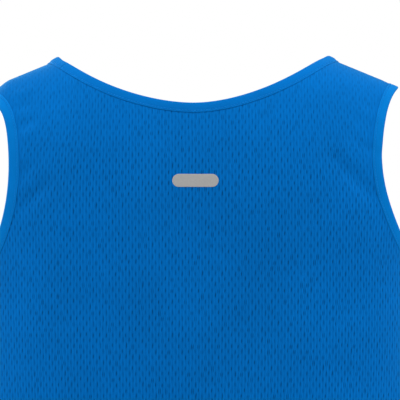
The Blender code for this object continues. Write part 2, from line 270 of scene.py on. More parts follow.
# Bumps: height and strength.
MESH_BUMP, KNIT_BUMP = (0.25 * MM, 0.6), (0.04 * MM, 0.5)
THREAD_BUMP, FILM_BUMP = (0.05 * MM, 0.5), (0.1 * MM, 0.3)
COURSE_RELIEF, GRAIN_RELIEF, YARN_RELIEF = 0.12, 0.3, 0.5      # against a slit's depth

PAIR_FAINTER = 0.25            # a double slit is this much fainter
COURSES_IN_REPEAT = 14
THREADS_IN_PITCH, THREADS_IN_REPEAT = 3.0, 1.1
WALE_MM, COURSE_MM = 0.9, 0.7

# Roughness and specular level.
MATT, THREAD_GLOSS, FILM_GLOSS, FLOOR_GLOSS = (0.9, 0.01), (0.6, 0.1), (0.5, 0.15), (0.9, 0.1)
SHEEN, SHEEN_ROUGHNESS = 0.2, 0.4
SHEEN_TINT = (0.30, 0.96, 0.88, 1.0)
MESH_BLUE = (0.0004, 0.118, 0.417, 1.0)
YARN_BLUE = (0.0006, 0.141, 0.492, 1.0)
# The colour of painted shade: inside the slits, under the bindings' edges and at the neck binding's
# join.
SHADE_BLUE = (0.0002, 0.048, 0.173, 1.0)
NECK_BLUE = (0.0008, 0.134, 0.462, 1.0)
# The armholes' bindings are the neck's knit, painted lighter in place of the extra light that they
# catch.
ARMHOLE_PAINTED_LIGHT_BLUE = (0.0008, 0.154, 0.500, 1.0)
THREAD_BLUE = (0.003, 0.200, 0.620, 1.0)
DARK_BEADS = (0.341, 0.340, 0.335, 1.0)
LIGHT_BEADS = (0.363, 0.361, 0.355, 1.0)
FLOOR_GREY = (0.85, 0.85, 0.85, 1.0)
WHITE = (1.0, 1.0, 1.0, 1.0)


# ---- the form that the cloth lies on ----

def rows_of(columns, table):
    """The table's rows as dictionaries, by the names of its columns."""
    return [dict(zip(columns, row)) for row in table]


def smooth(value):
    """Rises from 0 to 1 with level ends as the value goes from 0 to 1."""
    value = np.clip(value, 0, 1)
    return value * value * (3 - 2 * value)


def ease(value, start, end):
    """Goes smoothly from 0 to 1 as the value goes from start to end."""
    return smooth((value - start) / (end - start))


def arc_fraction(across, up):
    """How far along a curve each of its points lies, from 0 to 1."""
    lengths = np.hypot(np.diff(across), np.diff(up))
    total = np.concatenate([[0], np.cumsum(lengths)])
    return total / total[-1]


TURN = np.linspace(0, np.pi / 2, FORM_STEPS)
BODY = {name: np.array(column[::-1]) * MM for name, column in zip(BODY_COLUMNS, zip(*BODY_MM))}
SECTION_X = np.sin(TURN) ** (2 / ROUNDNESS)
SECTION_Y = np.cos(TURN) ** (2 / ROUNDNESS)
SECTION_GIRTH = arc_fraction(BODY["half_width"][-1] * SECTION_X, BODY["back"][-1] * SECTION_Y)
SHOULDER_OUT = np.sin(TURN)
SHOULDER_DOWN = {face: 1 - np.cos(TURN) ** (2 / power) for face, power in SHOULDER_ROUNDNESS.items()}
SHOULDER_ARC = {
    face: arc_fraction(SHOULDER_ASPECT * SHOULDER_OUT, down) for face, down in SHOULDER_DOWN.items()
}


def body_size(name, height):
    """A column of the body table at any height, smoothly between its rows."""
    heights, values = BODY["height"], BODY[name]
    slopes = np.gradient(values, heights)
    slopes[0] = slopes[-1] = 0
    below = np.clip(np.searchsorted(heights, height) - 1, 0, len(heights) - 2)
    span = heights[below + 1] - heights[below]
    part = np.clip((height - heights[below]) / span, 0, 1)
    rest = 1 - part
    ends = (1 + 2 * part) * rest ** 2 * values[below] + part ** 2 * (3 - 2 * part) * values[below + 1]
    bend = part * rest ** 2 * slopes[below] - part ** 2 * rest * slopes[below + 1]
    return ends + span * bend


def ridge_height(across):
    """Real height of the shoulder ridge, carried on over the neck as a low arch."""
    across = np.abs(across)
    neck = SHOULDER_SLOPE * (STRAP_MIDDLE - NECK_POINT)
    arch = neck + SHOULDER_SLOPE * NECK_POINT / 4 * (1 - (across / NECK_POINT) ** 4)
    return np.where(across > NECK_POINT, SHOULDER_SLOPE * (STRAP_MIDDLE - across), arch)


def ridge_on_cloth(across):
    """Height of the ridge, measured up the cloth."""
    return CHEST_TOP + SHOULDER_STRETCH * (ridge_height(across) - CHEST_TOP)


def fold_over(face, across, height):
    """A place past the side seam or past the ridge, named on the other face."""
    past = np.abs(across) > QUARTER
    face = np.where(past, -face, face)
    across = np.where(past, np.sign(across) * (2 * QUARTER - np.abs(across)), across)
    ridge = ridge_on_cloth(across)
    past = height > ridge
    return np.where(past, -face, face), across, np.where(past, 2 * ridge - height, height)


def form(face, across, height):
    """The smooth form, without folds, at places on the pattern."""
    face, across, height = fold_over(face, across, height)
    is_back = face > 0
    girth = np.abs(across) / QUARTER
    level = np.minimum(height, CHEST_TOP)
    depth = np.where(is_back, body_size("back", level), body_size("front", level))
    chest_x = body_size("half_width", level) * np.interp(girth, SECTION_GIRTH, SECTION_X)
    chest_y = SIDE_SEAM_Y + face * depth * np.interp(girth, SECTION_GIRTH, SECTION_Y)

    ridge = ridge_on_cloth(across)
    part = np.clip((ridge - height) / (ridge - CHEST_TOP), 0, 1)
    out = np.where(is_back, np.interp(part, SHOULDER_ARC[BACK], SHOULDER_OUT),
                   np.interp(part, SHOULDER_ARC[FRONT], SHOULDER_OUT))
    down = np.where(is_back, np.interp(part, SHOULDER_ARC[BACK], SHOULDER_DOWN[BACK]),
                    np.interp(part, SHOULDER_ARC[FRONT], SHOULDER_DOWN[FRONT]))
    droop = np.where(across > 0, DROOP[LEFT], DROOP[RIGHT])
    sag = droop * ease(np.abs(across), DROOP_START, DROOP_END) * (1 - down)
    top = ridge_height(across) - sag
    above = height > CHEST_TOP
    straight = np.abs(across)
    x = np.where(above, straight + (chest_x - straight) * smooth(down), chest_x)
    y = np.where(above, out * chest_y, chest_y)
    z = np.where(above, top - down * (top - CHEST_TOP), height)
    return np.stack([np.sign(across) * x, y, z], -1)


def normals_of(surface, face, across, height):
    """Unit normals of a surface at places on the pattern, pointing out of the body."""
    right = surface(face, across + STEP, height) - surface(face, across - STEP, height)
    up = surface(face, across, height + STEP) - surface(face, across, height - STEP)
    normal = np.cross(right, up) * -face
    return normal / np.linalg.norm(normal, axis=-1, keepdims=True)


def fold_rise(face, across, height):
    """How far the folds and creases lift the cloth off the form."""
    face, across, height = fold_over(face, across, height)
    side = np.where(across < 0, -1, 1)
    girth = np.where(face > 0, across, side * 2 * QUARTER - across)
    rise = np.zeros(np.shape(across))
    for fold in rows_of(FOLD_COLUMNS, FOLDS_MM + CREASES_MM):
        start = np.array([fold["girth_1"], fold["height_1"]]) * MM
        run = np.array([fold["girth_2"], fold["height_2"]]) * MM - start
        round_body = (girth - start[0] + 2 * QUARTER) % (4 * QUARTER) - 2 * QUARTER
        up = height - start[1]
        along = np.clip((round_body * run[0] + up * run[1]) / (run @ run), 0, 1)
        away = np.hypot(round_body - along * run[0], up - along * run[1])
        swell = np.sin(np.pi * (FOLD_ENDS + (1 - 2 * FOLD_ENDS) * along))
        fade = 1 - along if fold["height_1"] * MM <= HEM_HEIGHT else swell
        rise += fold["rise"] * MM * np.exp(-(away / (fold["half_width"] * MM)) ** 2) * fade
    return rise * smooth((ridge_on_cloth(across) - height) / FOLD_FADE)


def cloth(face, across, height):
    """The middle of the cloth, with its folds, at places on the pattern."""
    lift = fold_rise(face, across, height)
    return form(face, across, height) + lift[..., None] * normals_of(form, face, across, height)


def raised(face, across, height, offset):
    """Places on the pattern, moved out from the middle of the cloth."""
    offset = np.broadcast_to(offset, np.shape(across))[..., None]
    return cloth(face, across, height) + offset * normals_of(cloth, face, across, height)


# ---- the edges of the pattern ----

def bezier(points):
    """Points at even steps of a cubic Bezier's parameter."""
    part = np.linspace(0, 1, CURVE_POINTS)[:, None]
    a, b, c, d = (np.array(point, float) for point in points)
    rest = 1 - part
    return rest ** 3 * a + 3 * rest ** 2 * part * b + 3 * rest * part ** 2 * c + part ** 3 * d


def line_length(line):
    """Length of a line on the pattern."""
    return np.hypot(*np.diff(line, axis=0).T).sum()


def points_along(line, parts):
    """Points of a line on the pattern, at parts of its length from 0 to 1."""
    fractions = arc_fraction(*line.T)
    return np.stack([np.interp(parts, fractions, places) for places in line.T], -1)


def evenly(curve, spacing):
    """A curve's points, at nearly even steps of its length."""
    return points_along(curve, np.linspace(0, 1, int(round(line_length(curve) / spacing)) + 1))


def shoulder_seam(face, across):
    """Height of the shoulder seam, on the face that it is reached from."""
    return ridge_on_cloth(across) + face * SEAM_FORWARD


def size_of(columns, table, face, side):
    """The sizes in a table's row for one face and side, in metres."""
    row = next(row for row in rows_of(columns, table) if (row["face"], row["side"]) == (face, side))
    return {name: value * MM for name, value in row.items() if name not in ("face", "side")}


def armhole_lines(face, side, distances):
    """Lines beside an armhole's edge, at distances in from it, from the side seam to the shoulder."""
    size = size_of(ARMHOLE_COLUMNS, ARMHOLES_MM, face, side)
    armpit = (QUARTER, size["armpit"])
    narrow = (size["narrow"], size["narrow_height"])
    tip = (size["tip"], shoulder_seam(face, size["tip"]))
    lower = bezier((armpit, (armpit[0] - size["armpit_handle"], armpit[1]),
                    (narrow[0], narrow[1] - size["lower_handle"]), narrow))
    upper = bezier((narrow, (narrow[0], narrow[1] + size["upper_handle"]),
                    (tip[0] + face * TIP_SLANT * size["tip_handle"], tip[1] - size["tip_handle"]), tip))
    edge = evenly(np.concatenate([lower, upper[1:]]), BAND_ROW)
    lines = []
    for distance in distances:
        line = inset(face, edge, distance)
        across = tip[0] - distance / ALONG_RIDGE
        line[0] = (QUARTER, armpit[1] - distance)
        line[-1] = (across, shoulder_seam(face, across))
        lines.append(line * (side, 1))
    return lines


def neck_lines(face, side, distances):
    """Lines beside the neck's edge, at distances in from it, from the centre to the shoulder."""
    size = size_of(NECK_COLUMNS, NECKS_MM, face, side)
    bottom = (size["centre"], size["bottom"])
    top = (side * size["top"], shoulder_seam(face, size["top"]))
    edge = evenly(bezier((bottom, (bottom[0] + side * size["bottom_handle"], bottom[1]),
                          (top[0], top[1] - size["top_handle"]), top)), BAND_ROW)
    lines = []
    for distance in distances:
        line = inset(face, edge, -side * distance)
        across = top[0] + side * distance / ALONG_RIDGE
        line[0] = (bottom[0], bottom[1] - distance)
        line[-1] = (across, shoulder_seam(face, across))
        lines.append(line)
    return lines


def inset(face, edge, distance):
    """An edge moved by a distance measured on the cloth, square to the edge and to its left."""
    across, height = edge.T
    by_across = (form(face, across + STEP, height) - form(face, across - STEP, height)) / (2 * STEP)
    by_height = (form(face, across, height + STEP) - form(face, across, height - STEP)) / (2 * STEP)
    slope = np.gradient(edge, axis=0)
    tangent = slope[:, :1] * by_across + slope[:, 1:] * by_height
    aside = np.cross(np.cross(by_across, by_height), tangent)
    aside *= distance / np.linalg.norm(aside, axis=1, keepdims=True)
    bases = np.stack([by_across, by_height], -1)
    return edge + [np.linalg.lstsq(base, move, rcond=None)[0] for base, move in zip(bases, aside)]


# ---- meshes ----

def new_piece(name, points, faces, uv, material, openness=None):
    """A mesh object from points, faces and a UV place for each point, with coinciding points joined."""
    _, first, joined = np.unique(np.round(points / MERGE_DISTANCE), axis=0, return_index=True,
                                 return_inverse=True)
    joined = joined.ravel()
    kept = []
    for face in faces:
        corners = list(dict.fromkeys(joined[list(face)].tolist()))
        if len(corners) > 2:
            kept.append(corners)
    used = np.unique(np.concatenate([np.array(corners) for corners in kept]))
    number = np.full(len(first), -1)
    number[used] = np.arange(len(used))
    mesh = bpy.data.meshes.new(name)
    mesh.from_pydata(points[first[used]].tolist(), [], [number[corners].tolist() for corners in kept])
    layer = mesh.uv_layers.new(name="UVMap")
    corner_points = np.zeros(len(mesh.loops), int)
    mesh.loops.foreach_get("vertex_index", corner_points)
    layer.data.foreach_set("uv", uv[first[used]][corner_points].astype(np.float32).ravel())
    if openness is not None:
        values = mesh.attributes.new("openness", "FLOAT", "POINT").data
        values.foreach_set("value", openness[first[used]].astype(np.float32))
    mesh.shade_smooth()
    mesh.materials.append(material)
    thing = bpy.data.objects.new(name, mesh)
    bpy.context.scene.collection.objects.link(thing)
    return thing


def grid_faces(rows, columns, closed=False):
    """Quads between the points of a grid, given by row and then by column."""
    number = np.arange(rows * columns).reshape(rows, columns)
    if closed:
        number = np.concatenate([number, number[:, :1]], 1)
    return np.stack([number[:-1, :-1], number[:-1, 1:], number[1:, 1:], number[1:, :-1]], -1)


def lattice(column, row):
    """Where a column and a row of the slits cross on the pattern."""
    straight = column * PITCH
    height = HEM_HEIGHT + row * REPEAT
    inwards = FAN * ease(np.abs(straight), FAN_START, FAN_END)
    inwards = inwards * ease(height, FAN_BOTTOM, FAN_TOP)
    return straight - np.sign(straight) * inwards, height


def slit_depth(column, row, seed):
    """How deep in a slit each point of the lattice lies, from 0 to 1."""
    nearest = np.round(column)
    shifted = row + (nearest * 0.5) % 1
    aside = (column - nearest) * PITCH / (SLIT_WIDTH / 2)
    along = (shifted - np.round(shifted)) * REPEAT / (SLIT_LENGTH / 2)
    random = np.random.default_rng(seed).random(RANDOM_CELLS)
    cell = (nearest.astype(int) % RANDOM_CELLS[0], np.round(shifted).astype(int) % RANDOM_CELLS[1])
    return smooth(1 - np.hypot(aside, along) / SLIT_HOLLOW) * (1 - UNEVEN * random[cell])


def slit_openness(face, across, height):
    """How open the slits are: they close along the ridge and beside the shoulders' bindings."""
    ridge = np.minimum(np.abs(ridge_on_cloth(across) - height) / RIDGE_FADE, 1)
    beside = np.ones(across.shape)
    for side in (LEFT, RIGHT):
        edge = armhole_lines(face, side, (0.0,))[0]
        inwards = np.interp(height, edge[:, 1], np.abs(edge[:, 0])) - across * side
        beside = np.minimum(beside, ease(inwards, *BESIDE_BINDING))
    beside = 1 - (1 - beside) * ease(height, *SHOULDER_ZONE)
    return LEAST_SLIT + (1 - LEAST_SLIT) * ridge * beside


def panel(name, face, material, seed):
    """A panel of mesh with its slits pressed in, and its hem turned up inside."""
    top = ridge_on_cloth(0.0) + SEAM_FORWARD
    rows = np.arange(HEM_FOLD / REPEAT, (top - HEM_HEIGHT) / REPEAT, 1 / LATTICE_ROWS)
    half = np.ceil((QUARTER + FAN) / PITCH * LATTICE_COLUMNS)
    columns = np.arange(-half, half + 1) / LATTICE_COLUMNS
    limit = QUARTER + SEAM_LAP

    column, row = np.meshgrid(columns, rows)
    across, height = lattice(column, row)
    inside = in_outline(face, across, height)
    across = np.clip(across, -limit, limit)
    seam = shoulder_seam(face, across) + SEAM_LAP
    height = np.minimum(height, seam)
    openness = slit_openness(face, across, height)
    to_seam = np.minimum(QUARTER - np.abs(across), seam - height)
    offset = -SLIT_DEPTH * slit_depth(column, row, seed) * openness
    offset -= SEAM_DIP * np.exp(-(to_seam / SEAM_REACH) ** 2)
    main = raised(face, across, height, offset)

    edge = across[0]
    turned = []
    for angle in np.linspace(np.pi, HEM_FOLD_END, HEM_FOLD_STEPS):
        turned.append((HEM_HEIGHT + HEM_FOLD * (1 - np.sin(angle)), -HEM_FOLD * (1 - np.cos(angle))))
    inner_rows = np.arange(HEM_HEIGHT + HEM_TURN, HEM_HEIGHT + HEM_FOLD, -REPEAT / LATTICE_ROWS)
    turned = [(up, -2 * HEM_FOLD) for up in inner_rows] + turned
    hem = np.stack([raised(face, edge, np.full(edge.shape, up), lift) for up, lift in turned])
    dip = SEAM_DIP * np.exp(-((QUARTER - np.abs(edge)) / SEAM_REACH) ** 2)
    hem -= dip[:, None] * normals_of(cloth, face, edge, np.full(edge.shape, HEM_HEIGHT))
    hem_row = -np.array([up - HEM_HEIGHT for up, _ in turned]) / REPEAT

    points = np.concatenate([hem, main]).reshape(-1, 3)
    uv = np.stack([
        np.concatenate([np.broadcast_to(column[0], hem.shape[:2]), column]),
        np.concatenate([np.broadcast_to(hem_row[:, None], hem.shape[:2]), row]),
    ], -1).reshape(-1, 2)
    keep = np.concatenate([np.ones(hem.shape[:2], bool), inside]).ravel()
    openness = np.concatenate([np.ones(hem.shape[:2]), openness]).ravel()
    faces = grid_faces(len(hem) + len(main), len(columns)).reshape(-1, 4)
    faces = faces[keep[faces].all(1)]
    if face == BACK:
        faces = faces[:, ::-1]
    return new_piece(name, points, faces, uv, material, openness)


def in_outline(face, across, height):
    """Which places lie inside the neck and armhole edges, clear of them by the hidden edge."""
    inside = np.ones(across.shape, bool)
    for side in (LEFT, RIGHT):
        edge = armhole_lines(face, side, (HIDDEN_EDGE,))[0]
        most = np.interp(height, edge[:, 1], np.abs(edge[:, 0]))
        inside &= (across * side < most) | (height < edge[0, 1])
        edge = neck_lines(face, side, (HIDDEN_EDGE,))[0]
        from_centre, limits = (edge[:, 0] - edge[0, 0]) * side, edge[:, 1]
        place = (across - edge[0, 0]) * side
        under = height < np.interp(place, from_centre, limits)
        inside &= under | (place < 0) | (place > from_centre[-1])
    return inside


def band_section():
    """A binding's closed section as insets and offsets: outer leaf, fold, inner leaf, lining."""
    leaf = [(inset_mm * MM, offset_mm * MM) for inset_mm, offset_mm in BAND_LEAF_MM]
    turn = np.linspace(0, np.pi, BAND_FOLD_STEPS + 1)
    fold = [(BAND_FOLD * (1 - np.sin(angle)), BAND_FOLD * np.cos(angle)) for angle in turn]
    lining = [(inset_mm * MM, offset_mm * MM) for inset_mm, offset_mm in BAND_LINING_MM]
    under = [(place, -lift) for place, lift in leaf[::-1]]
    back = [(place, -lift) for place, lift in lining[::-1]]
    return leaf + fold + under + back + [(LINING_TURN, 0.0)] + lining


def layers(section, to_seam, side):
    """How far the neck binding's extra layers move its section off the cloth, and out past its edge."""
    size = next(row for row in rows_of(LAYERS_COLUMNS, LAYERS_MM) if row["side"] == side)
    from_start = (LAYERS_START - to_seam) / (size["step"] * MM)
    begun = smooth(from_start + 0.5) * smooth(to_seam / LAYERS_FADE)
    places, offsets = np.array(section).T
    taper = ease(places, *LAYERS_TAPER)
    rise = size["rise"] * MM * np.sign(offsets) * smooth(np.abs(offsets) / BAND_FOLD) * taper
    bulge = size["bulge"] * MM * smooth((BULGE_REACH - places) / BULGE_REACH)
    return begun[:, None] * rise, begun[:, None] * bulge


def band(name, sides, lines_of, material, is_neck=False, width=1.0):
    """A binding folded over a raw edge, all round it."""
    section = band_section()
    offsets = np.array([lift for _, lift in section])
    around = np.array([place if lift > 0 else -place for place, lift in section]) / MM
    points, faces, uv, openness = [], [], [], []
    count = 0
    for face in (BACK, FRONT):
        for side in sides:
            lines = np.stack(lines_of(face, side, [place * width for place, _ in section]), 1)
            steps = np.hypot(*np.diff(lines[:, 0], axis=0).T)
            along = np.concatenate([[0], np.cumsum(steps)])
            to_seam = along[-1] - along
            if is_neck and face == BACK:
                rise, bulge = layers(section, to_seam, side)
                block = raised(face, lines[..., 0], lines[..., 1], offsets + rise)
                outwards = block[:, :1] - block[:, len(BAND_LEAF_MM):len(BAND_LEAF_MM) + 1]
                block -= bulge[..., None] * outwards / np.linalg.norm(outwards, axis=-1, keepdims=True)
            else:
                block = raised(face, lines[..., 0], lines[..., 1], offsets)
            quads = grid_faces(*block.shape[:2], closed=True).reshape(-1, 4) + count
            faces.append(quads if face * side > 0 else quads[:, ::-1])
            points.append(block.reshape(-1, 3))
            uv.append(np.stack(np.broadcast_arrays(along[:, None] / MM, around), -1).reshape(-1, 2))
            # On the bindings the openness attribute holds the strength of the painted shadow under the
            # edge: fainter near the neck's shoulder seams, and only low down the armholes.
            if is_neck:
                near = ease(to_seam, *NECK_SHADOW_FADE)
                line = np.broadcast_to(1 - (1 - NECK_SHADOW_LEFT) * near[:, None], block.shape[:2])
            else:
                line = ease(lines[..., 1], *SHADOW_LINE_ZONE)
            openness.append(line.ravel())
            count += len(points[-1])
    thing = new_piece(name, np.concatenate(points), np.concatenate(faces), np.concatenate(uv), material,
                      np.concatenate(openness))
    point_out(thing)
    return thing


def point_out(thing):
    """Turns all the faces of a closed piece to point out."""
    mesh = bmesh.new()
    mesh.from_mesh(thing.data)
    bmesh.ops.recalc_face_normals(mesh, faces=mesh.faces)
    mesh.to_mesh(thing.data)
    mesh.free()


def strokes_along(line, pitch, length):
    """The two ends of each stitch along a line on the pattern."""
    total = line_length(line)
    middles = np.arange(pitch / 2, total, pitch)
    return np.stack([points_along(line, (middles + shift) / total)
                     for shift in (-length / 2, length / 2)], 1)


def stitches(name, strokes, material):
    """Sewn stitches: each stroke is a face, its ends on the pattern, and their lift off the cloth."""
    corners = np.radians(np.arange(STITCH_SIDES) * 360 / STITCH_SIDES)
    last_corner = len(STITCH_SECTIONS) * STITCH_SIDES
    caps = [np.arange(STITCH_SIDES)[::-1], np.arange(last_corner - STITCH_SIDES, last_corner)]
    tube = grid_faces(len(STITCH_SECTIONS), STITCH_SIDES, closed=True).reshape(-1, 4)
    one = np.concatenate([tube, caps])
    points, faces = [], []
    count = 0
    for face, ends, lift in strokes:
        first, last = (raised(face, ends[:, end, 0], ends[:, end, 1], lift) for end in (0, 1))
        middle = ends.mean(1)
        normal = normals_of(cloth, face, middle[:, 0], middle[:, 1]) * np.sign(lift)
        aside = np.cross(last - first, normal)
        aside /= np.linalg.norm(aside, axis=1, keepdims=True)
        rings = []
        for part, thickness, rise in STITCH_SECTIONS:
            centre = first + part * (last - first) + normal * rise * THREAD
            for corner in corners:
                outwards = aside * np.cos(corner) + normal * np.sin(corner)
                rings.append(centre + THREAD * thickness * outwards)
        block = np.stack(rings, 1)
        starts = np.arange(len(block))[:, None, None] * block.shape[1]
        faces.append((one + starts).reshape(-1, 4) + count)
        points.append(block.reshape(-1, 3))
        count += len(points[-1])
    points = np.concatenate(points)
    thing = new_piece(name, points, np.concatenate(faces), np.zeros((len(points), 2)), material)
    point_out(thing)
    return thing


def binding_stitches(name, sides, lines_of, material, width=1.0):
    """The row of stitches that holds a binding, on its outer and its inner leaf."""
    strokes = []
    for face in (BACK, FRONT):
        for side in sides:
            line = lines_of(face, side, (STITCH_INSET * width,))[0]
            ends = strokes_along(line, STITCH_PITCH, STITCH_LENGTH)
            strokes += [(face, ends, THREAD_LIFT), (face, ends, -THREAD_LIFT)]
    return stitches(name, strokes, material)


def hem_stitches(name, face, material):
    """Two rows outside a hem, and the zigzag that joins them inside."""
    reach = QUARTER - STITCH_PITCH
    rows = []
    for up in HEM_STITCHES:
        line = np.array([(-reach, HEM_HEIGHT + up), (reach, HEM_HEIGHT + up)])
        rows.append(strokes_along(line, STITCH_PITCH, STITCH_LENGTH))
    low, high = rows[0].mean(1), rows[1].mean(1)
    zigzag = np.concatenate([np.stack([low, high], 1), np.stack([high[:-1], low[1:]], 1)])
    inside = -2 * HEM_FOLD - PANEL_THREAD_LIFT
    strokes = [(face, row, PANEL_THREAD_LIFT) for row in rows] + [(face, zigzag, inside)]
    return stitches(name, strokes, material)


def reflective_bar(name, material):
    """A plain film with round ends, pressed on the middle of the upper back."""
    half, end = BAR_WIDTH / 2, BAR_HEIGHT / 2
    up = end * np.sin(np.linspace(-np.pi / 2, np.pi / 2, BAR_ROWS))[:, None]
    reach = half - end + np.sqrt(end ** 2 - up ** 2)
    across = reach * np.linspace(-1, 1, BAR_COLUMNS)
    edge = np.ones(across.shape, bool)
    edge[1:-1, 1:-1] = False
    lift = np.where(edge, BAR_EDGE_LIFT, BAR_LIFT)
    points = raised(BACK, BAR_PLACE[0] + across, BAR_PLACE[1] + up + 0 * across, lift)
    uv = np.stack([across, up + 0 * across], -1).reshape(-1, 2) / MM
    faces = grid_faces(*across.shape).reshape(-1, 4)[:, ::-1]
    return new_piece(name, points.reshape(-1, 3), faces, uv, material)


# ---- materials ----

def maths(tree, operation, *terms):
    """A Math node's result. Each term is a number or another node's result."""
    step = tree.nodes.new("ShaderNodeMath")
    step.operation = operation
    for socket, term in zip(step.inputs, terms):
        if isinstance(term, bpy.types.NodeSocket):
            tree.links.new(term, socket)
        else:
            socket.default_value = term
    return step.outputs[0]


def times(tree, a, b):
    """A product of two values."""
    return maths(tree, "MULTIPLY", a, b)


def plus(tree, a, b):
    """A sum of two values."""
    return maths(tree, "ADD", a, b)


def minus(tree, a, b):
    """The first value less the second."""
    return maths(tree, "SUBTRACT", a, b)


def ramp(tree, value, low, high, at_low, at_high):
    """The value, smoothly mapped from one range to another."""
    step = tree.nodes.new("ShaderNodeMapRange")
    step.interpolation_type = "SMOOTHSTEP"
    tree.links.new(value, step.inputs["Value"])
    for name, number in zip(("From Min", "From Max", "To Min", "To Max"), (low, high, at_low, at_high)):
        step.inputs[name].default_value = number
    return step.outputs[0]


def mix(tree, part, colour_a, colour_b):
    """A colour between two others."""
    step = tree.nodes.new("ShaderNodeMix")
    step.data_type = "RGBA"
    tree.links.new(part, step.inputs[0])
    for socket, colour in zip(step.inputs[6:8], (colour_a, colour_b)):
        if isinstance(colour, bpy.types.NodeSocket):
            tree.links.new(colour, socket)
        else:
            socket.default_value = colour
    return step.outputs[2]


def noise(tree, scale, detail):
    """A noise's value, on the object's own coordinates."""
    place = tree.nodes.new("ShaderNodeTexCoord")
    step = tree.nodes.new("ShaderNodeTexNoise")
    step.inputs["Scale"].default_value = scale
    step.inputs["Detail"].default_value = detail
    tree.links.new(place.outputs["Object"], step.inputs["Vector"])
    return step.outputs["Fac"]


def new_material(name, roughness, specular, sheen=0.0):
    """A material, its tree and its shader, with the shader's plain values set."""
    material = bpy.data.materials.new(name)
    material.use_nodes = True
    shader = material.node_tree.nodes["Principled BSDF"]
    shader.inputs["Roughness"].default_value = roughness
    shader.inputs["Specular IOR Level"].default_value = specular
    shader.inputs["Sheen Weight"].default_value = sheen
    shader.inputs["Sheen Roughness"].default_value = SHEEN_ROUGHNESS
    shader.inputs["Sheen Tint"].default_value = SHEEN_TINT
    return material, material.node_tree, shader


def add_bump(tree, shader, height, distance, strength):
    """Fine relief from a height value."""
    bump = tree.nodes.new("ShaderNodeBump")
    bump.inputs["Distance"].default_value = distance
    bump.inputs["Strength"].default_value = strength
    tree.links.new(height, bump.inputs["Height"])
    tree.links.new(bump.outputs["Normal"], shader.inputs["Normal"])


def uv_place(tree):
    """The two coordinates of the UV map."""
    place = tree.nodes.new("ShaderNodeUVMap")
    place.uv_map = "UVMap"
    parts = tree.nodes.new("ShaderNodeSeparateXYZ")
    tree.links.new(place.outputs["UV"], parts.inputs["Vector"])
    return parts.outputs["X"], parts.outputs["Y"]


def attribute(tree, name):
    """A value that is stored at the mesh's points."""
    step = tree.nodes.new("ShaderNodeAttribute")
    step.attribute_name = name
    return step.outputs["Fac"]


def scaled(tree, colour, factor):
    """A colour, brightened or darkened."""
    step = tree.nodes.new("ShaderNodeVectorMath")
    step.operation = "SCALE"
    tree.links.new(colour, step.inputs[0])
    tree.links.new(factor, step.inputs["Scale"])
    return step.outputs[0]


def random_of_cell(tree, column, row):
    """Three random values that stay the same all over one slit."""
    cell = tree.nodes.new("ShaderNodeCombineXYZ")
    tree.links.new(column, cell.inputs["X"])
    tree.links.new(row, cell.inputs["Y"])
    random = tree.nodes.new("ShaderNodeTexWhiteNoise")
    random.noise_dimensions = "2D"
    tree.links.new(cell.outputs["Vector"], random.inputs["Vector"])
    parts = tree.nodes.new("ShaderNodeSeparateColor")
    tree.links.new(random.outputs["Color"], parts.inputs["Color"])
    return parts.outputs[0], parts.outputs[1], parts.outputs[2]


def slit_pattern(tree, column, row):
    """How strongly a slit's painted shade darkens each place, and how light the yarn is that winds
    between the columns.
    """
    nearest = maths(tree, "ROUND", column)
    shifted = plus(tree, row, maths(tree, "FRACT", times(tree, nearest, 0.5)))
    slit_row = maths(tree, "ROUND", shifted)
    wander, pairing, depth = random_of_cell(tree, nearest, slit_row)
    from_column = minus(tree, column, nearest)
    aside = times(tree, from_column, PITCH / MM)
    along = times(tree, minus(tree, shifted, slit_row), REPEAT / MM)
    along = plus(tree, along, times(tree, minus(tree, pairing, 0.5), 2 * SLIT_RISE / MM))

    off_middle = times(tree, minus(tree, wander, 0.5), 2 * SLIT_WANDER / MM)
    lean = times(tree, minus(tree, depth, 0.5), 2 * SLIT_SLANT)
    middle = plus(tree, off_middle, times(tree, lean, along))
    paired = maths(tree, "GREATER_THAN", pairing, 1 - SLIT_PAIRS)
    spread = times(tree, paired, PAIR_SPREAD / MM)
    from_middle = maths(tree, "ABSOLUTE", minus(tree, aside, middle))
    across = times(tree, minus(tree, from_middle, spread), 2 * MM / SLIT_WIDTH)
    shorter = plus(tree, 1 - UNEVEN_LENGTH / 2, times(tree, wander, UNEVEN_LENGTH))
    up = times(tree, times(tree, along, shorter), 2 * MM / SLIT_LENGTH)
    away = maths(tree, "SQRT", plus(tree, times(tree, across, across), times(tree, up, up)))
    dark = ramp(tree, away, *SLIT_EDGE, 1.0, 0.0)
    strength = minus(tree, 1.0, times(tree, depth, UNEVEN))
    strength = times(tree, strength, minus(tree, 1.0, times(tree, paired, PAIR_FAINTER)))

    swing = maths(tree, "COSINE", times(tree, shifted, 2 * np.pi))
    winding = plus(tree, 0.5, times(tree, swing, YARN_WAVE))
    from_yarn = maths(tree, "ABSOLUTE", minus(tree, maths(tree, "ABSOLUTE", from_column), winding))
    light = ramp(tree, from_yarn, 0.0, YARN_WIDTH, 1.0, 0.0)
    return times(tree, dark, strength), light


